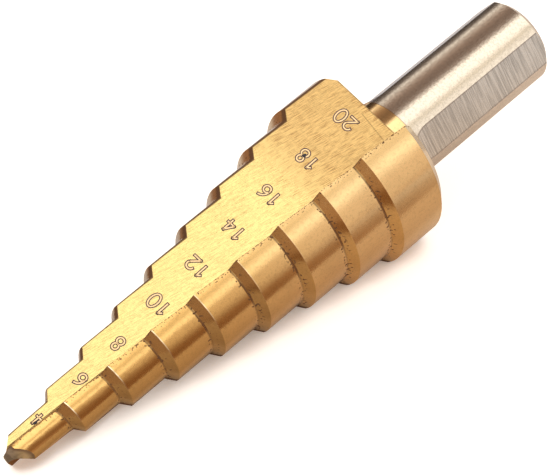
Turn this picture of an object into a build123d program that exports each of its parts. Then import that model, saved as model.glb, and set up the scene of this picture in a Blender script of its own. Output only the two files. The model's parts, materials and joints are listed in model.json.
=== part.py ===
"""Step drill, 4 to 20 mm: one bar of tool steel with nine relieved steps, two straight flutes,
a split point and a three-flat shank.  Millimetres.

The bar is first built upright, shank down and point up, and is then laid on its side."""

import os
from math import acos, asin, cos, degrees, radians, sin, sqrt, tan

from build123d import *

# ---------------------------------------------------------------- steps
first_diameter = 4.0        # cutting size of the first step
diameter_rise = 2.0         # each step cuts this much more than the one before
step_count = 9
first_land_length = 5.9     # first step, from the corner of the point to its shoulder
step_pitch = 5.5            # one step to the next along the axis
shoulder_length = 0.85      # axial length of the cone between two steps
shoulder_root_radius = 0.3  # fillet where a step meets the next cone
last_land_length = 6.1      # largest step, between its cone and its rear chamfer
rear_chamfer = 1.0          # 45 degrees, behind the largest step

# ---------------------------------------------------------------- relief behind each cutting edge
axial_relief = 0.65         # how far a shoulder falls back in a quarter turn
radial_relief = 0.13        # how far a step shrinks in a quarter turn
relief_datum_angle = 74.5   # where the relief starts, degrees round from the cutting face

# ---------------------------------------------------------------- flutes, as 90 degree grooves
cutting_face_at_tip = -0.37     # how far the cutting face stands past the axis, at the point
cutting_face_at_collar = 2.45   # and at the rear of the largest step
heel_face_at_tip = -0.58        # height of the heel face, the flat that carries the size marks
heel_face_at_collar = 5.40
flute_root_radius = 0.8

# ---------------------------------------------------------------- point
point_angle = 135.0
lip_relief = 10.0           # slope of the first facet behind each lip
gash_relief = 50.0          # slope of the second facet, which thins the web
lip_width = 0.6             # width of the first facet

# ---------------------------------------------------------------- shank
shank_diameter = 10.0
shank_length = 21.8
shank_chamfer = 0.6
shank_flat_count = 3
shank_flat_depth = 0.42
shank_flat_setback = 3.8    # full depth starts this far behind the largest step
flat_cutter_radius = 8.0    # leaves the curved run-out at the end of each flat
shank_flat_turn = 40.0      # how the flats are turned against the flutes, degrees

# ---------------------------------------------------------------- worked out from the above
margin = 3.0                # what a cutting body stands proud of the bar
cutter_overrun = 0.1        # the flats' cutter climbs out this far above the shank
first_radius = first_diameter / 2
radius_rise = diameter_rise / 2
collar_radius = first_radius + radius_rise * (step_count - 1)
shank_radius = shank_diameter / 2
collar_height = shank_length                       # rear face of the largest step
chamfer_top = collar_height + rear_chamfer
last_shoulder_top = chamfer_top + last_land_length + shoulder_length
first_shoulder_top = last_shoulder_top + step_pitch * (step_count - 2)
lip_corner_height = first_shoulder_top + first_land_length
lip_slope = tan(radians(90 - point_angle / 2))
overall_length = lip_corner_height + first_radius * lip_slope
fluted_length = overall_length - collar_height
print(f"overall length {overall_length:.2f} mm, largest step {2 * collar_radius:.1f} mm")

# ---------------------------------------------------------------- one relieved lobe
# Half of the stepped body is its staircase profile turned about the axis while it climbs: a screw
# motion, which gives every shoulder its relief.  The screw's own centre stands off the bar's axis,
# so that each step also shrinks behind its cutting edge.
lobe_lead = 130.0           # the sweep starts this far before the relief datum, past the heel
lobe_sweep = 165.0
lobe_bore = 0.5             # the profile keeps this far off the screw's axis
screw_pitch = 4 * axial_relief
lobe_start = relief_datum_angle - lobe_lead
lobe_axis = Location(
    (
        radial_relief * cos(radians(relief_datum_angle)),
        radial_relief * sin(radians(relief_datum_angle)),
        -axial_relief * lobe_lead / 90,
    ),
    (0, 0, lobe_start),
)

staircase = [(lobe_bore, collar_height - margin)]
staircase.append((collar_radius - radial_relief, collar_height - margin))
corner_radii = [0, 0]
for index in reversed(range(step_count - 1)):
    land_radius = first_radius + radius_rise * index - radial_relief
    cone_top = first_shoulder_top - step_pitch * index
    staircase.append((land_radius + radius_rise, cone_top - shoulder_length))
    staircase.append((land_radius, cone_top))
    corner_radii += [0, shoulder_root_radius]
staircase.append((first_radius - radial_relief, overall_length + margin))
staircase.append((lobe_bore, overall_length + margin))
corner_radii += [0, 0]

with BuildPart() as lobe:
    with BuildSketch(Plane.XZ):
        with BuildLine():
            FilletPolyline(*staircase, radius=corner_radii, close=True)
        make_face()
    with BuildLine():
        Helix(pitch=screw_pitch, height=screw_pitch * lobe_sweep / 360, radius=first_radius)
    sweep(is_frenet=True)

# ---------------------------------------------------------------- one flute
# A square groove whose root line climbs towards the shank, so the web thickens from the point on.
root_at_collar = Vector(cutting_face_at_collar, heel_face_at_collar, collar_height)
root_at_tip = Vector(cutting_face_at_tip, heel_face_at_tip, overall_length)
root_line = root_at_tip - root_at_collar
root_start = root_at_collar - root_line * (margin / fluted_length)
groove_width = 2 * collar_radius    # so that only two of its sides cut

with BuildPart() as flute:
    with BuildSketch(Plane(root_start)):
        with Locations((-groove_width / 2, groove_width / 2)):
            Rectangle(groove_width, groove_width)
        fillet(vertices().sort_by(Axis.X)[-2:].sort_by(Axis.Y)[0], flute_root_radius)
    extrude(amount=root_line.length * (1 + 2 * margin / fluted_length), dir=root_line)

# ---------------------------------------------------------------- the upright bar
web_radius_at_tip = 0.8
web_spread = 1.3            # the web over the heel face's height, to reach past the lobes' ends
web_radius_at_collar = web_spread * heel_face_at_collar

with BuildPart() as bar:
    # The web: a slim cone that joins the two lobes under the flutes.
    with Locations((0, 0, collar_height)):
        Cone(
            web_radius_at_collar,
            web_radius_at_tip,
            fluted_length + margin,
            align=(Align.CENTER, Align.CENTER, Align.MIN),
        )
    for turn in (0, 180):
        add(lobe.part.moved(Location((0, 0, 0), (0, 0, turn)) * lobe_axis))

    # The rear face and its chamfer are turned square, so the relief ends there.
    with BuildSketch(Plane.XZ):
        with BuildLine():
            Polyline(
                (0, collar_height),
                (collar_radius - rear_chamfer, collar_height),
                (collar_radius + margin, chamfer_top + margin),
                (collar_radius + margin, overall_length + 2 * margin),
                (0, overall_length + 2 * margin),
                close=True,
            )
        make_face()
    revolve(axis=Axis.Z, mode=Mode.INTERSECT)

    for turn in (0, 180):
        add(flute.part.rotate(Axis.Z, turn), mode=Mode.SUBTRACT)

    # The point: two facets behind each lip, one to cut and one to thin the web.
    facet_size = 4 * first_diameter     # covers the point whole
    for turn in (0, 180):
        for slope, start in ((lip_relief, 0.0), (gash_relief, lip_width)):
            drop = start * tan(radians(lip_relief))
            facet_origin = Vector(cutting_face_at_tip + start, 0, overall_length - drop)
            along_lip = Vector(0, 1, -lip_slope)
            away_from_lip = Vector(1, 0, -tan(radians(slope)))
            facet = Plane(
                facet_origin.rotate(Axis.Z, turn),
                x_dir=along_lip.rotate(Axis.Z, turn),
                z_dir=away_from_lip.cross(along_lip).rotate(Axis.Z, turn),
            )
            with BuildSketch(facet):
                Rectangle(facet_size, facet_size)
            extrude(amount=facet_size, mode=Mode.SUBTRACT)

    # The shank, with three flats for the chuck.
    with BuildSketch(Plane.XZ):
        with BuildLine():
            Polyline(
                (0, 0),
                (shank_radius - shank_chamfer, 0),
                (shank_radius, shank_chamfer),
                (shank_radius, collar_height),
                (0, collar_height),
                close=True,
            )
        make_face()
    revolve(axis=Axis.Z)

    flat_radius = shank_radius - shank_flat_depth
    flat_end = collar_height - shank_flat_setback
    cutter_swing = degrees(acos(1 - (shank_flat_depth + cutter_overrun) / flat_cutter_radius))
    for number in range(shank_flat_count):
        flat_angle = shank_flat_turn + 360 * number / shank_flat_count
        with BuildSketch(Plane(Location((0, 0, 0), (0, 0, flat_angle)) * Plane.XZ.location)):
            with BuildLine():
                run_out = JernArc(
                    (flat_radius, flat_end), (0, 1), flat_cutter_radius, -cutter_swing
                )
                Polyline(
                    run_out @ 1,
                    (shank_radius + margin, (run_out @ 1).Y),
                    (shank_radius + margin, -margin),
                    (flat_radius, -margin),
                    (flat_radius, flat_end),
                )
            make_face()
        extrude(amount=shank_radius, both=True, mode=Mode.SUBTRACT)


# ---------------------------------------------------------------- at rest
# The bar lies with one flute underneath: on the corner of a lip, and on the two edges of that
# flute at the front rim of the largest step.  The three points give the surface it lies on.


def face_offset(at_tip, at_collar, height):
    """Distance of a flute's face from the axis, at a height on the bar."""
    return at_collar + (at_tip - at_collar) * (height - collar_height) / fluted_length


def behind(height, angle):
    """Height of a point of a rim once the relief has set it back, by its angle about the axis."""
    return height - axial_relief * (relief_datum_angle - angle) / 90


rim_height = last_shoulder_top - shoulder_length
cutting_x = face_offset(cutting_face_at_tip, cutting_face_at_collar, rim_height)
cutting_angle = degrees(acos(cutting_x / collar_radius))
cutting_corner = Vector(
    -cutting_x, -sqrt(collar_radius**2 - cutting_x**2), behind(rim_height, cutting_angle)
)
heel_y = face_offset(heel_face_at_tip, heel_face_at_collar, rim_height)
heel_angle = -degrees(asin(heel_y / collar_radius))
heel_radius = collar_radius - radial_relief * (relief_datum_angle - heel_angle) / 90
heel_corner = Vector(
    sqrt(heel_radius**2 - heel_y**2), -heel_y, behind(rim_height, heel_angle)
)
lip_corner = Vector(-cutting_face_at_tip, -first_radius, lip_corner_height)
up = (heel_corner - cutting_corner).cross(lip_corner - cutting_corner).normalized()
if up.Y < 0:
    up = -up
towards_shank = Vector(0, 0, -1)
surface = Plane(
    lip_corner, x_dir=towards_shank - up * up.dot(towards_shank), z_dir=up
)
laid_bar = surface.to_local_coords(bar.part)
laid_box = laid_bar.bounding_box()

with BuildPart() as step_drill:
    with Locations((-laid_box.center().X, -laid_box.center().Y, -laid_box.min.Z)):
        add(laid_bar)
step_drill.part.label = "step_drill"
print(f"the axis lies {degrees(asin(up.Z)):.2f} degrees off level")
print("box", step_drill.part.bounding_box())
print("solids", len(step_drill.part.solids()), "volume", round(step_drill.part.volume, 1))

os.makedirs("parts", exist_ok=True)
export_step(step_drill.part, "parts/step_drill.step")
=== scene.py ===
# %% [markdown]
# # A step drill, dressed in Blender
# A step drill is one bar of tool steel.  Its cutting part is stepped like a fir tree and carries a
# thin gold coat of titanium nitride; its shank is bare ground steel.  The solid comes from the
# packed model, so this lesson is about finishes: where the coat ends, how the grinding wheel's
# lines run on each face, how the edges have worn, and how a shop would light such a shiny bar.
#
# Everything here is in metres, in the frame of the packed model.  Sizes of the drill are written in
# millimetres, as a drawing has them, and `mm` turns them into metres.

# %% Loading the packed model
import json
from math import cos, degrees, pi, radians, sin

import bpy
import numpy as np
from mathutils import Matrix, Vector


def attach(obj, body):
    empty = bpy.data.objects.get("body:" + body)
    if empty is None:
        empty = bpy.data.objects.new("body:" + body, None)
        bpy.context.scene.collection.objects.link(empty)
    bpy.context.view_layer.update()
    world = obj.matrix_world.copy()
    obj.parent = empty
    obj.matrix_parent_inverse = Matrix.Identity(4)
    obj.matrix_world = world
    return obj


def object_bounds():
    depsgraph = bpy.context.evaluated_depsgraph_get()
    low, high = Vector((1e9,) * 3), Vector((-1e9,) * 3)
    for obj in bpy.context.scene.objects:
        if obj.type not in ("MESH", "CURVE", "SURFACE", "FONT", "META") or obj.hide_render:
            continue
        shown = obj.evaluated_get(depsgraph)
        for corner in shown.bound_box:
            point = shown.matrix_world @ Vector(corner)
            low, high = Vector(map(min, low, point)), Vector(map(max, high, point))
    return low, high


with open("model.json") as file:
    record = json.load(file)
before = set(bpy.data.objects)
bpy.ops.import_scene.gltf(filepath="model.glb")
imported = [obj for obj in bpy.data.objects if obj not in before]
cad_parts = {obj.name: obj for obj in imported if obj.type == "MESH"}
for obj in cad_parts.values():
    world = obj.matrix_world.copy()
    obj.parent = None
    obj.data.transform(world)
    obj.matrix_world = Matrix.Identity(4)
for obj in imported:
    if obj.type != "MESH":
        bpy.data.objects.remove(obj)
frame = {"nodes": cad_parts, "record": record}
cad_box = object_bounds()
mm = 0.001
drill = frame["nodes"]["step_drill"]
print("the solid has", len(drill.data.polygons), "triangles and fills",
      [round(side / mm, 1) for side in cad_box[1] - cad_box[0]], "mm")

# %% [markdown]
# ## The drill's own axes
# The drill lies on the floor, nose down, so nothing on it is square to X, Y or Z.  Every pattern on
# it is easier to say in the drill's own axes: z up the bar from the end of the shank to the point,
# x and y across it.  The record gives them: the shank mount's axis points out of the shank's end,
# and the first chuck flat faces 40 degrees round from x.

# %% The drill's axes, from the mounts
shank_length = 21.8
shank_chamfer = 0.6
first_flat_turn = radians(40.0)

mounts = {mount["name"]: mount for mount in frame["record"]["mounts"]}
to_point = -Vector(mounts["shank"]["axis"]).normalized()
flat_way = Vector(mounts["jaw_flat_1"]["axis"]).normalized()
past_flat = to_point.cross(flat_way)
drill_x = cos(first_flat_turn) * flat_way - sin(first_flat_turn) * past_flat
drill_y = sin(first_flat_turn) * flat_way + cos(first_flat_turn) * past_flat
shank_end = Vector(mounts["shank"]["pos_m"]) - to_point * (shank_length + shank_chamfer) / 2 * mm
print("the drill rises", round(degrees(-np.arcsin(to_point.z)), 2), "degrees towards its shank")

# %% [markdown]
# ## The drill's sizes
# The finishes follow the drill's edges, so the sizes that place those edges are repeated here, in
# millimetres.  The steps grow evenly from the point to the collar, which is the largest of them.

# %% Sizes that place the steps
first_radius = 2.0
radius_rise = 1.0
step_count = 9
step_pitch = 5.5
shoulder_length = 0.85
collar_height = shank_length
overall_length = 74.98
collar_chamfer = 1.0
collar_land = 6.1
first_cone = collar_height + collar_chamfer + collar_land      # foot of the cone in front of the collar
collar_radius = first_radius + radius_rise * (step_count - 1)
print(step_count, "steps from", 2 * first_radius, "to", 2 * collar_radius, "mm across, one every", step_pitch, "mm")

# %% [markdown]
# Behind its cutting edge every shoulder falls back and every land shrinks, as one goes round the
# bar.  This relief is what lets the edge cut.  It starts from nothing at the cutting edge.

# %% The relief
axial_relief = 0.65             # how far a shoulder falls back in a quarter turn
radial_relief = 0.13            # and how much a land shrinks in it
relief_datum_angle = 74.5       # degrees round from x, where both are nothing
quarter_turn = 90
print("a shoulder falls back", axial_relief, "mm and a land", radial_relief, "mm in a quarter turn")

# %% [markdown]
# The flute is a right-angled groove.  Its two faces are planes that lean, so that the bar is
# thicker in the middle near the collar.  The narrow one is the cutting face and the wide one, which
# carries the size marks, ends at the heel of the other half.

# %% The faces of the flute
fluted_length = overall_length - collar_height


def face_offset(at_tip, at_collar, height):
    """A flute face's distance from the axis, which changes evenly from the collar to the tip."""
    return at_collar + (height - collar_height) * ((at_tip - at_collar) / fluted_length)


def cutting_face(height):
    """How far the cutting face stands from the axis, along x."""
    return face_offset(-0.37, 2.45, height)


def heel_face(height):
    """How far the wide face with the size marks stands from the axis, along y."""
    return face_offset(-0.58, 5.40, height)


print("the wide face stands", [round(heel_face(height), 2) for height in (collar_height, 48.0, overall_length)],
      "mm from the axis at the collar, halfway and at the point")

# %% [markdown]
# ## The camera
# A short lens close by would swell the near point and shrink the shank.  A long lens from about
# 29 cm keeps their sizes true.  The camera looks down on the drill and is rolled a little, so that
# the bar runs corner to corner.

# %% Where the camera looks
view_distance = 0.28888
view_azimuth = radians(39.700)      # the way it looks, from +Y towards +X
view_elevation = radians(38.245)    # and how steeply down
view_roll = radians(6.729)
aim = Vector((-0.00070, -0.00065, 0.00730))

looking = Vector((
    sin(view_azimuth) * cos(view_elevation),
    cos(view_azimuth) * cos(view_elevation),
    -sin(view_elevation),
))
print("the camera looks along", [round(part, 3) for part in looking])

# %% Camera
camera_data = bpy.data.cameras.new("camera")
camera_data.sensor_width = 36.0
camera_data.lens = 184.085
camera_data.clip_start = 0.01
camera = bpy.data.objects.new("camera", camera_data)
camera_turn = looking.to_track_quat("-Z", "Y").to_matrix() @ Matrix.Rotation(-view_roll, 3, "Z")
camera.matrix_world = Matrix.Translation(aim - looking * view_distance) @ camera_turn.to_4x4()
bpy.context.scene.collection.objects.link(camera)
bpy.context.scene.camera = camera
print("the camera stands at", [round(part / mm) for part in camera.matrix_world.translation], "mm")

# %% [markdown]
# ## Writing shaders as sums
# A finish is mostly arithmetic: a distance from an edge, a mask that fades over it, a mix of two
# colours.  In a node editor that is a web of Math nodes.  Here a `Signal` wraps one socket and
# lends it Python's operators, so `1 - mask * 0.5` adds the Math nodes by itself.

# %% A signal
class Signal:
    """One output of a node.  Arithmetic on it adds Math nodes to the same tree."""

    def __init__(self, wiring, socket):
        self.wiring, self.socket = wiring, socket

    def maths(self, operation, *values):
        sockets = dict(enumerate(values))
        return self.wiring.add("ShaderNodeMath", {"operation": operation}, sockets)

    def __add__(self, other): return self.maths("ADD", self, other)
    def __radd__(self, other): return self.maths("ADD", other, self)
    def __sub__(self, other): return self.maths("SUBTRACT", self, other)
    def __rsub__(self, other): return self.maths("SUBTRACT", other, self)
    def __mul__(self, other): return self.maths("MULTIPLY", self, other)
    def __rmul__(self, other): return self.maths("MULTIPLY", other, self)
    def __truediv__(self, other): return self.maths("DIVIDE", self, other)
    def __rtruediv__(self, other): return self.maths("DIVIDE", other, self)
    def __mod__(self, other): return self.maths("FLOORED_MODULO", self, other)
    def __abs__(self): return self.maths("ABSOLUTE", self)
    def __gt__(self, other): return self.maths("GREATER_THAN", self, other)
    def __lt__(self, other): return self.maths("LESS_THAN", self, other)
    def floor(self): return self.maths("FLOOR", self)
    def root(self): return self.maths("SQRT", self)
    def at_least(self, other): return self.maths("MAXIMUM", self, other)
    def at_most(self, other): return self.maths("MINIMUM", self, other)

    def turn_from(self, other):
        """The angle, in radians, of the point that lies `other` ahead and this much to the side."""
        return self.maths("ARCTAN2", self, other)

    def sign(self):
        """1 where the signal is above zero, and -1 elsewhere."""
        return (self > 0.0) * 2.0 - 1.0


print("a signal takes", sum(callable(part) for part in vars(Signal).values()) - 2, "operations")

# %% [markdown]
# Any other node comes from one method, `add`.  It takes the node's type, then its settings, which
# can change the sockets it has, and then what goes into its sockets: a signal or a plain value.

# %% Adding nodes
class Tree:
    """A node tree that nodes are added to by one call each."""

    def __init__(self, tree):
        self.tree = tree
        tree.nodes.clear()

    def add(self, kind, settings=None, sockets=None, out=0):
        """Adds a node, sets its settings first and then its sockets, and returns one output."""
        node = self.tree.nodes.new(kind)
        for name, value in (settings or {}).items():
            if name == "stops":
                self.set_stops(node.color_ramp, value)
            else:
                setattr(node, name, value)
        for name, value in (sockets or {}).items():
            self.feed(node.inputs[name], value)
        return Signal(self, node.outputs[out]) if node.outputs else node

    def feed(self, socket, value):
        """Links a signal into a socket, or sets the socket to a plain value."""
        if isinstance(value, Signal):
            self.tree.links.new(value.socket, socket)
        else:
            socket.default_value = value

    def set_stops(self, ramp, stops):
        """Gives a colour ramp its stops, as (place, colour) pairs."""
        while len(ramp.elements) < len(stops):
            ramp.elements.new(0.5)
        for element, (place, colour) in zip(ramp.elements, stops):
            element.position = place
            element.color = (*colour, 1.0)


print("to wire a tree:", " ".join(name for name in vars(Tree) if not name.startswith("_")))

# %% [markdown]
# A few patterns come back in every finish, so they get names: a mask that fades in, a band round a
# value, a mix of two colours, and noise.

# %% Masks, colours and noise
class Wiring(Tree):
    """A node tree with the patterns that the finishes here are made of."""

    def fade(self, value, start, end):
        """0 where the value is at start or before, 1 where it is at end or past, smooth between."""
        return self.add(
            "ShaderNodeMapRange",
            {"interpolation_type": "SMOOTHSTEP"},
            {"Value": value, "From Min": start, "From Max": end, "To Min": 0.0, "To Max": 1.0},
        )

    def band(self, value, centre, half_width, soft):
        """1 within half_width of the centre, falling to 0 over the soft margin."""
        return self.fade(abs(value - centre), half_width + soft, half_width)

    def mix(self, mask, without, with_it):
        """One colour where the mask is 0 and the other where it is 1."""
        def rgba(colour):
            return colour if isinstance(colour, Signal) else (*colour, 1.0)
        node = self.tree.nodes.new("ShaderNodeMix")
        node.data_type = "RGBA"
        factor, first_colour, second_colour, mixed_colour = 0, 6, 7, 2      # its sockets for colours
        self.feed(node.inputs[factor], mask)
        self.feed(node.inputs[first_colour], rgba(without))
        self.feed(node.inputs[second_colour], rgba(with_it))
        return Signal(self, node.outputs[mixed_colour])

    def vector(self, x, y, z):
        return self.add("ShaderNodeCombineXYZ", sockets={0: x, 1: y, 2: z})

    def parts(self, vector):
        """A vector's x, y and z, as three signals."""
        first = self.add("ShaderNodeSeparateXYZ", sockets={0: vector})
        return [Signal(self, output) for output in first.socket.node.outputs]

    def dot(self, vector, direction):
        """How far a vector reaches along a direction."""
        sockets = {0: vector, 1: tuple(direction)}
        return self.add("ShaderNodeVectorMath", {"operation": "DOT_PRODUCT"}, sockets, out=1)

    def scale(self, colour, factor):
        """A colour made lighter or darker by one factor."""
        colour = colour if isinstance(colour, Signal) else self.vector(*colour)
        return self.add("ShaderNodeVectorMath", {"operation": "SCALE"}, {0: colour, "Scale": factor})

    def noise(self, where, scale, detail=2.0, roughness=0.5):
        """Even noise about 0.5, at a place given as a vector."""
        return self.add(
            "ShaderNodeTexNoise",
            {"noise_dimensions": "3D"},
            {"Vector": where, "Scale": scale, "Detail": detail, "Roughness": roughness},
        )


print("patterns:", " ".join(name for name in vars(Wiring) if not name.startswith("_")))

# %% [markdown]
# Every finish starts as an empty material, and colours are often needed lighter or darker.

# %% A material to wire
def new_material(name):
    """An empty material and the wiring of its nodes."""
    material = bpy.data.materials.new(name)
    material.use_nodes = True
    return material, Wiring(material.node_tree)


def level(colour, strength):
    """A plain colour at a strength, where a node needs it ready made."""
    return tuple(part * strength for part in colour)


print("half of white is", level((1.0, 1.0, 1.0), 0.5))

# %% [markdown]
# ## The light
# A polished bar shows the room, stretched into bands along it.  Area lamps would give such bands
# too, but each would also light the paper and cast a shadow of its own, and a band's edge would
# have to be found by moving a lamp about.  A world made of nodes says directly what each part of
# the bar mirrors.  So the room is described round the drill's own axis, by the angle from straight
# up: a long lamp on the camera's side with a gap in it, a dark ceiling, a thin lamp beyond, and
# dark towards the point, where the viewer stands.

# %% The room's axes
along = -to_point
overhead = (Vector((0, 0, 1)) - along * along.z).normalized()
away = along.cross(overhead)
away = away if away.y > 0 else -away
print("the room's axes", [tuple(round(part, 3) for part in axis) for axis in (along, overhead, away)])

# %% The room's bands
warm_white = (1.00, 0.93, 0.80)
lamp_edge = (1.00, 0.88, 0.66)
warm_grey = (0.80, 0.66, 0.52)
cool_grey = (0.62, 0.58, 0.60)
brown = (0.26, 0.175, 0.125)

# Angle round the drill from overhead, in degrees: below zero on the camera's side.
room_bands = [
    (-180, level(warm_grey, 0.90)),
    (-100, level(warm_grey, 1.00)),
    (-88, level(warm_grey, 1.05)),
    (-72, level(warm_grey, 1.12)),
    (-64, level(warm_white, 1.20)),
    (-57, level(warm_white, 1.60)),
    (-52, level(warm_white, 1.25)),
    (-46, level(lamp_edge, 0.85)),
    (-41, level(lamp_edge, 1.00)),
    (-34, level(warm_white, 1.60)),
    (-8, level(warm_white, 1.85)),
    (0, level(brown, 1.20)),
    (18, level(brown, 0.85)),
    (34, level(brown, 1.40)),
    (48, level(warm_grey, 0.90)),
    (56, level(warm_white, 1.35)),
    (62, level(brown, 0.80)),
    (72, level(brown, 0.15)),
    (86, level(brown, 0.15)),
    (91, level(cool_grey, 1.60)),
    (100, level(cool_grey, 1.20)),
    (150, level(cool_grey, 1.30)),
    (180, level(warm_grey, 0.90)),
]
print("the room has", len(room_bands), "bands")

# %% [markdown]
# The world's nodes work out that angle from the direction of each ray.  Only rays that bounce off
# the shiny bar meet the bands.  Rays that come from the camera, or that light the paper, meet plain
# white, so the bands colour nothing but what the bar mirrors.

# %% The room
world = bpy.data.worlds.new("room")
bpy.context.scene.world = world
world.use_nodes = True
room = Wiring(world.node_tree)
ray = room.add("ShaderNodeTexCoord", out=0)
around = room.dot(ray, away).turn_from(room.dot(ray, overhead))
bands = room.add(
    "ShaderNodeValToRGB",
    {"stops": [((angle + 180) / 360, colour) for angle, colour in room_bands]},
    {"Fac": around / (2 * pi) + 0.5},
)
lengthwise = room.dot(ray, along)
towards_viewer = room.fade(lengthwise, -0.70, -0.92)
behind_shank = room.fade(lengthwise, 0.70, 0.90)
bands = room.mix(towards_viewer, bands, level(brown, 1.7))
bands = room.mix(behind_shank, bands, warm_white)
shiny = room.add("ShaderNodeLightPath", out="Is Glossy Ray")
light = room.mix(shiny, (1.0, 1.0, 1.0), bands)
background = room.add("ShaderNodeBackground", sockets={"Color": light, "Strength": 1.0})
room.add("ShaderNodeOutputWorld", sockets={"Surface": background})
print("the room has", len(world.node_tree.nodes), "nodes")

# %% [markdown]
# ## Paper, table and screen
# The drill lies on white paper.  A dark table begins a few centimetres in front of it and a dark
# screen stands on the table.  The steps mirror both as brown bands.  They are near, so a step by
# the point mirrors another part of them than a step by the collar, which the far world can't give.
# But the camera is to see white paper only, so both are cards that only reflections meet.  Each
# sheet is one flat polygon.

# %% Flat sheets
def flat_sheet(name, corners, height):
    """A flat polygon at a height, from its corners in metres."""
    mesh = bpy.data.meshes.new(name)
    mesh.from_pydata([(x, y, height) for x, y in corners], [], [tuple(range(len(corners)))])
    sheet = bpy.data.objects.new(name, mesh)
    bpy.context.scene.collection.objects.link(sheet)
    return sheet


paper_reach = 3.0
around_the_drill = [(-1, -1), (1, -1), (1, 1), (-1, 1)]
paper = flat_sheet("paper", [(paper_reach * x, paper_reach * y) for x, y in around_the_drill], 0.0)
print("the paper is", 2 * paper_reach, "m wide")

# %% Cards that only reflections meet
def upright_sheet(name, corners, where):
    """A flat polygon that stands across Y, from its corners' x and z in metres."""
    sheet = flat_sheet(name, corners, 0.0)
    points = np.array([(x, where, z) for x, z in corners], dtype=np.float32)
    sheet.data.vertices.foreach_set("co", points.ravel())
    sheet.data.update()
    return sheet


def make_card(sheet, material, wiring, tone):
    """Gives a sheet a plain tone of its own and hides it from the camera, from light and from shadows."""
    card = wiring.add("ShaderNodeEmission", sockets={"Color": tone, "Strength": 1.0})
    wiring.add("ShaderNodeOutputMaterial", sockets={"Surface": card})
    sheet.data.materials.append(material)
    sheet.visible_camera = False
    sheet.visible_diffuse = False
    sheet.visible_shadow = False
    sheet.visible_transmission = False
    print(sheet.name, "has", len(sheet.data.vertices), "corners and", len(material.node_tree.nodes), "nodes")


print("cards are met by reflections alone")

# %% [markdown]
# ## The paper's tones
# The shiny steps mirror the paper from close by, where the drill shades it in some places and
# throws its own warm light on it in others.  The tones that it mirrors are laid out by place:
# `beside` counts across the drill in its own half widths, and is 0 under its middle and -1 where
# its near side is.

# %% Places on the paper
paper_material, wires = new_material("white_paper")
seen = wires.add("ShaderNodeLightPath", out="Is Camera Ray")
mirrored = wires.add("ShaderNodeLightPath", out="Is Glossy Ray")
on_paper, across_paper, _ = wires.parts(wires.add("ShaderNodeTexCoord", out="Object"))
drill_slope, drill_half_width = 0.18, 0.008     # how its half width grows along x, and what it is at x = 0
beside = across_paper / (on_paper * drill_slope + drill_half_width)
print("the drill's half width is taken as", drill_half_width / mm, "mm at the middle of the frame")

# %% What the drill mirrors of the paper
paper_shade = (0.70, 0.53, 0.39)    # in front of it, in the drill's own warm shade
paper_near = (0.84, 0.68, 0.54)     # lighter close beside it, where the steps light it
paper_under = (0.34, 0.21, 0.13)    # dark right under it, where the steps shut the light out
paper_beyond = (0.72, 0.70, 0.74)   # pale on the far side
paper_far = (0.33, 0.20, 0.15)      # and dark again further off

dim = 1.0 - wires.fade(on_paper, 0.006, -0.020) * 0.18
under = wires.fade(beside, -0.66, -0.43) * wires.fade(beside, 1.6, 1.0) * wires.fade(on_paper, 0.022, 0.014)
paper_mirrored = wires.mix(wires.fade(beside, -1.15, -0.85), wires.scale(paper_shade, dim), paper_near)
paper_mirrored = wires.mix(under, paper_mirrored, paper_under)
paper_mirrored = wires.mix(wires.fade(beside, 1.2, 1.8), paper_mirrored, paper_beyond)
paper_mirrored = wires.mix(wires.fade(beside, 3.3, 4.6), paper_mirrored, paper_far)
print("the drill mirrors five tones of the paper, with", len(paper_material.node_tree.nodes), "nodes")

# %% [markdown]
# Paper under a soft light is only nearly white.  So what the camera sees of it gets a little glow,
# which lifts the open paper to white.  An Ambient Occlusion node tells how much of the sky a place
# sees: the glow is weak and brown where the drill shuts the sky out, so it paints part of the shadow,
# on top of the shadow that the drill casts.

# %% The paper and its glow
paper_white = 0.86
paper_seen = (0.86, 0.78, 0.72)
paper_glow = (0.68, 0.63, 0.58)         # warm, so that what is left in the shadow is warm too
painted_shadow_glow = (0.23, 0.17, 0.13)
shadow_reach = 0.0032

open_sky = wires.add("ShaderNodeAmbientOcclusion", {"samples": 12}, {"Distance": shadow_reach}, out="AO")
thin_end = wires.fade(on_paper, 0.004, -0.016)       # there the drill shuts out less of the light
# The painted shadow is made darker by the thin end, where the occlusion alone is weak.
glow_mask = wires.fade(open_sky, 0.15 + thin_end * 0.25, 0.60 + thin_end * 0.07)
paper_light = wires.mix(glow_mask, painted_shadow_glow, paper_glow)
glow = wires.add("ShaderNodeEmission", sockets={
    "Color": wires.mix(seen, (0.0, 0.0, 0.0), paper_light), "Strength": 1.0})

paper_colour = wires.mix(mirrored, (paper_white,) * 3, paper_mirrored)
paper_colour = wires.mix(seen, paper_colour, paper_seen)
lit = wires.add("ShaderNodeBsdfDiffuse", sockets={"Color": paper_colour})
both = wires.add("ShaderNodeAddShader", sockets={0: lit, 1: glow})
wires.add("ShaderNodeOutputMaterial", sockets={"Surface": both})
paper.data.materials.append(paper_material)
print("the paper has", len(paper_material.node_tree.nodes), "nodes and its shadow reaches", shadow_reach / mm, "mm")

# %% [markdown]
# ## The dark table
# Its near edge slants away from the drill towards the shank, so each step mirrors it at its own
# place.  On the shank's side it ends, and there the room is light again.  Its tone runs from dark
# brown by the small steps to pale by the collar.

# %% The table's outline
table_reach = 1.5
table_ends_across, table_ends_along = -0.110, 0.060
nose = cad_box[0].x - 0.015
table_height = 0.0003


def table_edge(x):
    """The corner of the table's near edge at a place along X: the edge slants with it."""
    return x, -0.0192 - 0.24 * x


table = flat_sheet("dark_table", [
    (-table_reach, -table_reach / 4), (table_ends_along, table_ends_across), (table_reach, -0.5),
    table_edge(0.15), table_edge(-0.017), (-0.038, -0.004),
    (nose, 0.0), (nose, table_reach / 3), (-table_reach, table_reach / 3),
], table_height)
print("the table's edge passes", round(-table_edge(0.0)[1] / mm, 1), "mm in front of the drill's middle")

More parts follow.
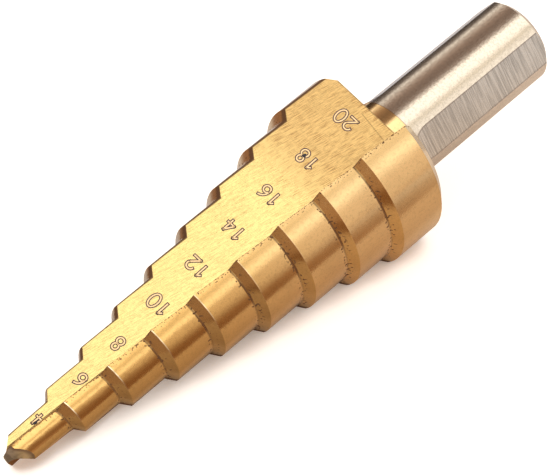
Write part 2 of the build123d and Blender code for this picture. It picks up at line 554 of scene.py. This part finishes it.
# %% The table's tones
table_tones = [     # by the place along X, in metres
    (-0.005, (0.235, 0.115, 0.055)),
    (0.014, (0.35, 0.195, 0.105)),
    (0.030, (0.55, 0.41, 0.30)),
    (0.060, (0.72, 0.67, 0.63)),
]
tones_start, tones_span = -0.02, 0.1        # the part of X that the ramp covers
before_the_point = (0.46, 0.30, 0.21)

table_material, wires = new_material("dark_table")
table_x = wires.parts(wires.add("ShaderNodeTexCoord", out="Object"))[0]
table_tone = wires.add(
    "ShaderNodeValToRGB",
    {"stops": [((x - tones_start) / tones_span, colour) for x, colour in table_tones]},
    {"Fac": (table_x - tones_start) / tones_span},
)
table_tone = wires.mix(wires.fade(table_x, -0.022, -0.034), table_tone, before_the_point)
make_card(table, table_material, wires, table_tone)

# %% [markdown]
# ## The dark screen
# The screen stands on the table and is a little lower towards the shank.  It is dark at its foot
# and light at its top, so that the steps show a soft upper edge.

# %% The screen
screen_away = 0.060
screen_dark = (0.29, 0.165, 0.095)
screen_pale = (0.78, 0.64, 0.49)
screen_outline = [(-0.045, 0.0), (0.026, 0.0), (0.020, 0.034), (-0.045, 0.040)]

screen = upright_sheet("dark_screen", screen_outline, -screen_away)
screen_material, wires = new_material("dark_screen")
screen_x, _, screen_height = wires.parts(wires.add("ShaderNodeTexCoord", out="Object"))
screen_light = wires.fade(screen_height * 0.9 + screen_x * 0.55, 0.003, 0.027)
make_card(screen, screen_material, wires, wires.mix(screen_light, screen_dark, screen_pale))

# %% [markdown]
# ## One finish for the whole bar
# The bar is one solid.  Its triangles could be sorted into several materials, but then a finish
# could only change where the mesh has an edge, and the coat ends in the middle of the shank.  So
# the finishes are one material, told apart by place.  Each face of a drill has its own ground
# texture, and each is easy to name in the drill's axes: the bare shank is what lies below the end
# of the coat, a chuck flat is what lies nearer the axis than the round shank does, and the wide
# flute face is a leaning plane.

# %% Places on the bar, as signals
finish, wires = new_material("drill_finish")
place = wires.add("ShaderNodeTexCoord", out="Object")
from_end = wires.add("ShaderNodeVectorMath", {"operation": "SUBTRACT"}, {0: place, 1: tuple(shank_end)})
x = wires.dot(from_end, drill_x / mm)
y = wires.dot(from_end, drill_y / mm)
z = wires.dot(from_end, to_point / mm)
drill_place = wires.vector(x, y, z)
radius = (x * x + y * y).root()

facing = wires.add("ShaderNodeTexCoord", out="Normal")
facing_x = wires.dot(facing, drill_x)
facing_y = wires.dot(facing, drill_y)
facing_z = wires.dot(facing, to_point)
print("the drill's axes as signals take", len(finish.node_tree.nodes), "nodes")

# %% [markdown]
# Both halves of the drill are alike, so each is folded onto the first by a half turn.  With the
# relief undone, every shoulder is at one height all round, and the remainder of that height by the
# pitch tells where a place is within its step.

# %% Both halves folded together, and the place within a step
lobe_middle = radians(32.0)
half = (x * cos(lobe_middle) + y * sin(lobe_middle)).sign()
lobe_x, lobe_y = x * half, y * half
angle = lobe_y.turn_from(lobe_x) * (180 / pi)

past_datum = relief_datum_angle - angle
edge_height = z + past_datum * (axial_relief / quarter_turn)
in_step = (edge_height - first_cone) % step_pitch
last_cone = first_cone + step_pitch * (step_count - 1)
stepped = (edge_height > first_cone - 0.5) * (edge_height < last_cone - 0.3)
print("cones start at", [first_cone + step * step_pitch for step in range(step_count - 1)], "mm")

# %% [markdown]
# The wide heel face looks along the drill's y and the cutting face along its x.  Both lean only a
# little, so a face is found by how squarely it looks along that axis and by its distance from the
# plane.

# %% The two faces of the flute, as masks
square_on = 0.975
on_plane = 0.06
in_flute = z > collar_height
heel_side = facing_y.sign()
cutting_side = (facing_x * -1.0).sign()
heel_flat = (abs(facing_y) > square_on) * in_flute * (abs(y * heel_side - heel_face(z)) < on_plane)
cutting_flat = (abs(facing_x) > square_on) * in_flute * (abs(x * cutting_side - cutting_face(z)) < on_plane)
print("a flute face is what lies within", on_plane, "mm of its plane")

# %% [markdown]
# ## The gold coat
# Titanium nitride is a few thousandths of a millimetre of hard gold-coloured ceramic.  A clear
# coat over steel would look like lacquer, because its shine would be white.  Here the reflection
# itself is gold, as it is on a metal, so the coat is a metal with a gold base colour.  It looks
# paler by the collar and richer towards the point; the cones are a darker gold, darker still towards
# the point, and the wide face is a yellower gold.  Two noises break it up: a wide one for stains and
# a fine one for the grain.

# %% Gold on the steps
gold_pale = (0.90, 0.64, 0.34)
gold_rich = (0.85, 0.545, 0.215)
gold_cone = (0.76, 0.49, 0.20)

turned_tone = wires.mix(wires.fade(z, 30.0, 56.0), gold_pale, gold_rich)
on_cone = stepped * (in_step < shoulder_length) * (1.0 - cutting_flat)
cone_tone = wires.scale(gold_cone, 1.08 - wires.fade(z, 33.0, 46.0) * 0.25)
turned_tone = wires.mix(on_cone, turned_tone, cone_tone)
print("the cones' gold is", round(gold_cone[0] / gold_rich[0], 2), "as bright as the steps'")

# %% Gold on the wide face, with stains and grain
gold = (0.83, 0.66, 0.29)
gold_coarse = (0.87, 0.62, 0.28)
mottle = wires.noise(drill_place, 0.35, detail=3.0)
grain = wires.noise(drill_place, 3.4, detail=3.0, roughness=0.65)

coarse_until, polished_from = 28.0, 38.0        # heights up the bar
coarse = wires.fade(z, polished_from, coarse_until) * heel_flat
gold_tone = wires.mix(heel_flat, turned_tone, wires.mix(coarse, gold, gold_coarse))
stains = 1.0 - wires.fade(mottle, 0.45, 0.75) * 0.08 - wires.fade(grain, 0.46, 0.70) * 0.12
gold_tone = wires.scale(gold_tone, stains)
print("the coarse part of the wide face ends between", coarse_until, "and", polished_from, "mm")

# %% [markdown]
# ## Ground lines
# A grinding wheel leaves lines along its own path.  On the wide flute face they run up the bar, a
# little aslant, coarse near the collar and nearly polished away towards the point.  On the chuck
# flats they run across the shank.  The Anisotropic setting would only smear the shine along them,
# as if they were too fine to see.  Here single lines show, so each set is noise stretched along
# its lines, and used both for colour and as a bump.

# %% Lines on the wide face
line_slant = 0.2
line_tone = (0.39, 0.20, 0.075)
across_lines = x * heel_side + z * line_slant
stretched = wires.vector(across_lines * 10.0, heel_side * 5.0, z * 0.30)    # the y part tells the two flutes apart
flute_lines = wires.noise(stretched, 2.2, detail=1.5, roughness=0.6)
flute_dark = wires.fade(flute_lines, 0.50, 0.36) * heel_flat * (0.30 + coarse * 0.62)
gold_tone = wires.mix(flute_dark, gold_tone, line_tone)
print("the flute's lines are", round(10.0 / 0.30), "times as long as they are wide")

# %% [markdown]
# ## Bare steel
# The coat ends a little short of the collar.  Below it the shank is bare: round and fairly smooth
# with a fine grain, or flat and ground across where the chuck's jaws hold it.

# %% The shank
steel = (0.76, 0.73, 0.69)
steel_round = (0.77, 0.70, 0.635)
shank_radius = 5.0
coat_end = collar_height - 1.87
coat_soft = 0.04

coat = wires.fade(z, coat_end - coat_soft, coat_end + coat_soft)
on_shank = (z < coat_end) * (radius < shank_radius - 0.015) * (z > 0.3)
round_shank = (z < coat_end) * (1.0 - on_shank)
chuck_lines = wires.noise(wires.vector(x * 0.05, y * 0.05, z * 1.7 + x * 0.22), 3.6, detail=3.0, roughness=0.75)
steel_flat = wires.mix(wires.fade(chuck_lines, 0.36, 0.62), level(steel, 0.72), level(steel, 1.14))
steel_grained = wires.scale(steel_round, 1.0 - wires.fade(grain, 0.44, 0.62) * 0.14)
steel_tone = wires.mix(on_shank, steel_grained, steel_flat)
base = wires.mix(coat, steel_tone, gold_tone)
print("the shank is bare up to", round(coat_end, 2), "mm")

# %% [markdown]
# ## Worn edges and painted highlights
# The coat goes first where the bar is sharpest.  Each land's rim shows a hair of pale metal: worn coat,
# and also a painted highlight where the rim would catch the light.  It is strongest towards the point
# and shows on only part of the way round.  The chamfer behind the collar gets the same pale colour.
# Edge wear is often found from the mesh, by its Pointiness, but that changes with the triangles.  The
# places of the edges are known here, so a distance from each of them gives a line of even width.

# %% Bright rims
worn_edge_and_highlight = (0.95, 0.88, 0.74)
on_steps = stepped * (1.0 - heel_flat) * (1.0 - cutting_flat)
# The pale rim line is worn coat and also a painted highlight.
rim = wires.band(in_step, step_pitch - 0.05, 0.03, 0.07) * on_steps * wires.fade(angle, 30.0, 58.0)
base = wires.mix(rim * wires.fade(z, 30.0, 66.0) * 0.7, base, worn_edge_and_highlight)
on_chamfer = (z < collar_height + 0.95) * (radius > 7.0) * (facing_z < -0.3) * (facing_z > -0.95)
base = wires.mix(on_chamfer * 0.8, base, worn_edge_and_highlight)
print("each land has a bright rim, strongest towards the point")

# %% [markdown]
# The corner at the foot of each shoulder gets a dark line of painted shade, stronger on part of the
# way round the bar.  Other dark lines run along the cutting edges and the edges of the wide face.
# The cutting edges have small chips, which are noise that is let through only close to an edge.

# %% Corners and chips
# Painted shade in the corner at the foot of each shoulder, stronger on part of the way round.
corner = wires.band(in_step, shoulder_length + 0.02, 0.04, 0.10) * on_steps
corner_shade_strength = 0.22 + wires.fade(angle, 12.0, 44.0) * 0.43

chips = wires.noise(drill_place, 3.6, detail=0.0)
fine_chips = wires.noise(drill_place, 5.5, detail=0.0)
past_edge = lobe_x - cutting_face(z)        # how far a place is behind the cutting edge
on_land = in_flute * (1.0 - heel_flat) * (1.0 - cutting_flat) * (lobe_y > 0.0)
near_corner = wires.band(in_step, shoulder_length, 0.25, 0.3) * on_steps
edge_chips = wires.fade(fine_chips, 0.66, 0.70) * wires.fade(past_edge, 0.50, 0.20) * on_land
chipped = edge_chips + wires.fade(chips, 0.65, 0.70) * near_corner
edge_line = wires.fade(past_edge, 0.13, 0.05) * on_land * wires.fade(fine_chips, 0.38, 0.52)
print("chips lie within half a millimetre of an edge")

# %% Dark lines by the edges of the wide face
step_number = (((edge_height - first_cone) / step_pitch).floor() + 1.0).at_least(0.0).at_most(step_count - 1.0)
left_of_cone = (1.0 - in_step / shoulder_length).at_least(0.0) * stepped
steps_down = step_number - left_of_cone
land_radius = collar_radius - steps_down * radius_rise - past_datum * (radial_relief / quarter_turn)
far_edge = wires.band(radius - land_radius, 0.0, 0.07, 0.08) * heel_flat * (x * heel_side < 0.0)
collar_edge = wires.fade(z, collar_height + 0.16, collar_height + 0.05) * heel_flat

upper = (y + 0.05).sign()
under_flat = heel_face(z) - y * upper
behind_heel = wires.fade(under_flat, 1.00, 0.45) * (x * upper < 0.0) * in_flute * (1.0 - heel_flat)
behind_heel = behind_heel * wires.fade(z, 67.5, 63.0)
print("the heel is dark within a millimetre behind the wide face")

# %% Lines on the shank, and a scratch
end_rim = wires.fade(z, 0.24, 0.10) * (radius > 3.9)
coat_line = wires.band(z, coat_end, 0.04, 0.05) * (radius < 5.2)
flat_rim = wires.fade(radius, 4.91, 4.98) * on_shank

# One scratch across the wide face near its largest mark, between two places along x.
scratch_middle, scratch_half_length, scratch_climb = -0.95, 1.75, 0.146
scratch_line = z - 22.71 - (x + 2.67) * scratch_climb
scratch = wires.band(scratch_line, 0.0, 0.03, 0.06) * wires.band(x, scratch_middle, scratch_half_length, 0.2)
scratch = scratch * heel_flat * (y > 0.0)
print("the scratch is", 2 * scratch_half_length, "mm long")

# %% [markdown]
# ## The point
# The point's facets were ground last, through the coat, and ran hot: they are dull and brown, in
# blotches, and nearly black round their rim.

# %% Point
dull_brown = (0.17, 0.12, 0.075)
point_mask = (z > overall_length - 2.6) * (facing_z > 0.3)
point_rim = point_mask * wires.fade(radius, 1.45, 1.90)
blotches = wires.noise(drill_place, 1.1, detail=2.0)
point_tone = wires.mix(wires.fade(blotches, 0.42, 0.58), dull_brown, level(dull_brown, 2.0))
point_strength = 0.55 + wires.fade(z, overall_length - 1.6, overall_length - 0.6) * 0.4
base = wires.mix(point_mask * point_strength, base, point_tone)
print("the point's facets take the last 2.6 mm")

# %% [markdown]
# ## The whole finish
# The dark lines, the painted shade in the shoulders' corners among them, are gathered in one mask,
# which swaps the metal for a plain dark diffuse colour: a dark metal would still mirror the pale paper
# at a low angle, and a diffuse colour doesn't.  Roughness goes up where the wheel was coarse, and the
# bump is only a few thousandths of a millimetre high.

# %% Every dark line in one mask
dark_lines = (
    corner * corner_shade_strength
    + chipped * 0.9
    + edge_line * 0.6
    + far_edge * 0.9
    + collar_edge * 0.55
    + behind_heel * 0.95
    + scratch * 0.4
    + coat_line * 0.4
    + end_rim * 0.5
    + flat_rim * 0.5
    + point_rim * 0.75
).at_most(0.95)
print("all dark lines together take", len(finish.node_tree.nodes), "nodes so far")

# %% The whole finish
# One dark diffuse colour for the dark lines, the painted corner shade among them.
dark_mark_and_shade_colour = (0.13, 0.060, 0.030)
turned = (1.0 - heel_flat) * in_flute
roughness = (
    0.15
    + coarse * 0.30
    + point_mask * 0.25
    + on_shank * 0.12
    + round_shank * 0.06
    + turned * 0.04
    + (grain - 0.5) * 0.14
)
line_bump = flute_lines * heel_flat * 0.010 + chuck_lines * on_shank * 0.010
bump_height = line_bump + grain * (0.0070 + round_shank * 0.0090)
bump = wires.add("ShaderNodeBump", sockets={"Strength": 0.8, "Distance": 0.001, "Height": bump_height})

surface = wires.add("ShaderNodeBsdfPrincipled", sockets={
    "Base Color": base, "Metallic": 1.0 - point_mask * 0.5, "Roughness": roughness, "Normal": bump})
dark_marks_and_shade = wires.add("ShaderNodeBsdfDiffuse", sockets={"Color": (*dark_mark_and_shade_colour, 1.0)})
both = wires.add("ShaderNodeMixShader", sockets={0: dark_lines, 1: surface, 2: dark_marks_and_shade})
wires.add("ShaderNodeOutputMaterial", sockets={"Surface": both})
for slot in drill.material_slots:
    slot.material = finish
print("the finish has", len(finish.node_tree.nodes), "nodes")

# %% [markdown]
# ## Size marks
# Each step's diameter is etched on the wide flute face beside it, in hollow figures: a dark line
# round a pale inside.  A text object would bring a printer's letters, thick and thin, and a hollow
# outline needs strokes of one width.  So a figure is a few strokes, each a flat bar carried along a
# path.  Wide dark bars lie on the face and narrower pale ones lie on them, so where strokes cross,
# only the outline of the whole figure stays dark.

# %% Three kinds of path
def arc(centre, radii, start, end, count=25):
    """Points on an ellipse: the centre plus each radius times the cosine and sine of the angle, in degrees."""
    turn = np.radians(np.linspace(start, end, count))
    return np.column_stack([centre[0] + radii[0] * np.cos(turn), centre[1] + radii[1] * np.sin(turn)])


def line(*corners):
    """Points evenly spread along one straight stroke."""
    start, end = np.array(corners, dtype=float)
    return start + np.linspace(0, 1, 5)[:, None] * (end - start)


def bow(start, pull, end, count=15):
    """A curve from start to end, drawn towards pull: the quadratic Bezier of the three."""
    t = np.linspace(0, 1, count)[:, None]
    return (1 - t) ** 2 * np.array(start) + 2 * t * (1 - t) * np.array(pull) + t ** 2 * np.array(end)


def ring(centre, radii):
    """A closed oval of 24 points: it stops one point short of where it began."""
    return "ring", arc(centre, radii, 0, 345, 24)


print("an arc has", len(arc((0, 0), (1, 1), 0, 90)), "points, a line", len(line((0, 0), (1, 0))),
      "and a bow", len(bow((0, 0), (1, 0), (1, 1))))

# %% Strokes of the figures
# In millimetres about the figure's middle, read to the right.
figures = {
    "0": [ring((0, 0), (0.48, 0.82))],
    "1": [("bar", line((0.08, -0.68), (0.08, 0.68))),
          ("bar", line((0.08, 0.68), (-0.20, 0.42)))],
    "2": [("bar", arc((0, 0.33), (0.42, 0.42), 165, -35)),
          ("bar", line((0.34, 0.09), (-0.42, -0.75))),
          ("bar", line((-0.42, -0.75), (0.44, -0.75)))],
    "4": [("bar", line((0.17, -0.68), (0.17, 0.68))),
          ("bar", line((0.17, 0.68), (-0.40, -0.28))),
          ("bar", line((-0.40, -0.28), (0.42, -0.28)))],
    "6": [ring((0, -0.31), (0.40, 0.40)),
          ("bar", bow((0.30, 0.70), (-0.37, 0.52), (-0.40, -0.29)))],
    "8": [ring((0, 0.39), (0.34, 0.37)),
          ring((0, -0.38), (0.41, 0.40))],
}
print("figures drawn:", " ".join(figures))

# %% [markdown]
# A stroke needs four corners at each point of its path: left and right, low and high.  Neighbouring
# points are joined by quads, a ring joins its last point to its first, and a bar gets a cap at each
# end.  So every stroke is a closed skin that faces outwards.

# %% A flat bar along a path
def flat_bar(kind, path, width, low, high):
    """Four corners at each point of the path, half the width to either side, at the low and high level.

    The sides are square to the path's own direction; a bar runs on by half its width and is capped."""
    if kind == "ring":
        ahead = np.roll(path, -1, axis=0) - np.roll(path, 1, axis=0)
    else:
        ahead = np.gradient(path, axis=0)
    ahead /= np.linalg.norm(ahead, axis=1, keepdims=True)
    if kind == "bar":
        path = path.copy()
        path[0] -= ahead[0] * width / 2
        path[-1] += ahead[-1] * width / 2
    side = np.column_stack([-ahead[:, 1], ahead[:, 0]]) * width / 2
    corners = [(path - side, low), (path + side, low), (path + side, high), (path - side, high)]
    rows = np.stack([np.column_stack([points, np.full(len(path), height)]) for points, height in corners], axis=1)
    index = np.arange(len(path) * 4).reshape(-1, 4)
    index = np.concatenate([index, index[:, :1]], axis=1)
    if kind == "ring":
        index = np.concatenate([index, index[:1]])
    quads = np.stack([index[:-1, :-1], index[:-1, 1:], index[1:, 1:], index[1:, :-1]], axis=-1).reshape(-1, 4)
    if kind == "bar":
        caps = np.array([index[0, 3::-1], index[-1, :4]])
        quads = np.concatenate([quads, caps])
    return rows.reshape(-1, 3), quads


print("a straight stroke has", len(flat_bar("bar", line((0, 0), (1, 0)), 0.37, 0.0, 0.1)[1]), "faces")

# %% [markdown]
# The marks read towards the heel side and stand towards the point.  So a figure's own right is the
# drill's -x, its up is z, and its height above the face is y on top of the leaning plane.

# %% Where the marks are
figure_step = 1.30
sunk = -0.03                # how deep a mark's underside lies in the face
mark_places = {             # the middle of each mark: x and height z, in millimetres, by the step's diameter
    "20": (-3.45, 24.46), "18": (-2.93, 30.53), "16": (-2.72, 36.15),
    "14": (-2.44, 41.50), "12": (-2.05, 47.02), "10": (-1.75, 52.64),
    "8": (-1.51, 58.44), "6": (-1.26, 63.70), "4": (-1.04, 69.62),
}
mark_sizes = {"8": 0.96, "6": 0.94, "4": 0.86}      # the last marks are a little smaller


def to_frame(points):
    """Drill coordinates in millimetres become metres in the frame: the shank's end plus x, y and z steps."""
    axes = np.array([drill_x, drill_y, to_point])
    return np.array(shank_end) + (points @ axes) * mm


print("marks:", " ".join(mark_places))

# %% A piece that rides on the drill
def plain_finish(name, colour, roughness, metallic=0.0):
    """One colour and one roughness all over."""
    material, wiring = new_material(name)
    flat = wiring.add("ShaderNodeBsdfPrincipled", sockets={
        "Base Color": (*colour, 1.0), "Roughness": roughness, "Metallic": metallic})
    wiring.add("ShaderNodeOutputMaterial", sockets={"Surface": flat})
    return material


def make_piece(name, points, faces, material):
    """A new piece from points in the frame and its faces, carried by the drill."""
    mesh = bpy.data.meshes.new(name)
    mesh.from_pydata(points.tolist(), [], faces)
    mesh.materials.append(material)
    piece = bpy.data.objects.new(name, mesh)
    bpy.context.scene.collection.objects.link(piece)
    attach(piece, "root")
    print(name, "has", len(mesh.polygons), "faces")


print("pieces so far:", " ".join(frame["nodes"]))

# %% Laying the marks on the face
def size_marks(name, width, lift, material):
    """Every figure's strokes at one width, as one piece on the leaning face."""
    all_points, all_quads, count = [], [], 0
    for words, (mark_x, mark_z) in mark_places.items():
        for place, letter in enumerate(words):
            right = (place - (len(words) - 1) / 2) * figure_step
            for kind, path in figures[letter]:
                points, quads = flat_bar(kind, path * mark_sizes.get(words, 1.0), width, sunk, lift)
                height = mark_z + points[:, 1]
                laid = np.column_stack([mark_x - right - points[:, 0], heel_face(height) + points[:, 2], height])
                all_points.append(to_frame(laid))
                all_quads.append(quads + count)
                count += len(points)
    make_piece(name, np.concatenate(all_points), np.concatenate(all_quads).tolist(), material)


etched_line = plain_finish("etched_line", (0.105, 0.060, 0.070), 0.55)
etched_inside = plain_finish("etched_inside", (0.88, 0.64, 0.38), 0.30, metallic=1.0)
size_marks("size_mark_lines", 0.37, 0.004, etched_line)
size_marks("size_mark_insides", 0.15, 0.008, etched_inside)

# %% [markdown]
# ## Dirt
# Dirt has filled part of two marks.  The marks are pieces of their own, so a stain in the drill's
# finish would stay hidden under them.  Each blot is a flat, uneven oval on top of the strokes: its
# radius is one plus two small waves of the angle, at a low and a high level that are joined by
# quads and capped.

# %% A blot
def blot(middle, reach, low, high):
    """A flat oval with an uneven rim: its points, its quads and its two many-sided caps."""
    turn = np.radians(np.arange(0, 360, 15))
    uneven = 1 + 0.16 * np.sin(3 * turn) + 0.10 * np.sin(5 * turn + 1)
    across = middle[0] + reach[0] * uneven * np.cos(turn)
    height = middle[1] + reach[1] * uneven * np.sin(turn)
    points = np.concatenate([np.column_stack([across, heel_face(height) + lift, height]) for lift in (low, high)])
    lower = np.arange(len(turn))
    ahead, upper = np.roll(lower, -1), lower + len(turn)
    quads = np.column_stack([lower, upper, np.roll(upper, -1), ahead])
    caps = np.array([lower, upper[::-1]])
    return points, quads, caps


print("a blot has", len(blot((0, 0), (1, 1), 0, 1)[0]), "points")

# %% Dirt in two marks
blots = [((-1.02, 69.92), (0.13, 0.36)), ((-3.47, 30.42), (0.20, 0.24))]     # middle, half sizes: x and z
blot_height = 0.012

blot_points, blot_faces, count = [], [], 0
for middle, reach in blots:
    points, quads, caps = blot(middle, reach, sunk, blot_height)
    blot_points.append(to_frame(points))
    blot_faces += (quads + count).tolist() + (caps + count).tolist()
    count += len(points)
make_piece("mark_dirt", np.concatenate(blot_points), blot_faces, plain_finish("dirt", (0.035, 0.030, 0.040), 0.6))

# %% [markdown]
# ## The view transform
# The scene is shown through the Standard view transform.

# %% The view transform
bpy.context.scene.view_settings.view_transform = "Standard"
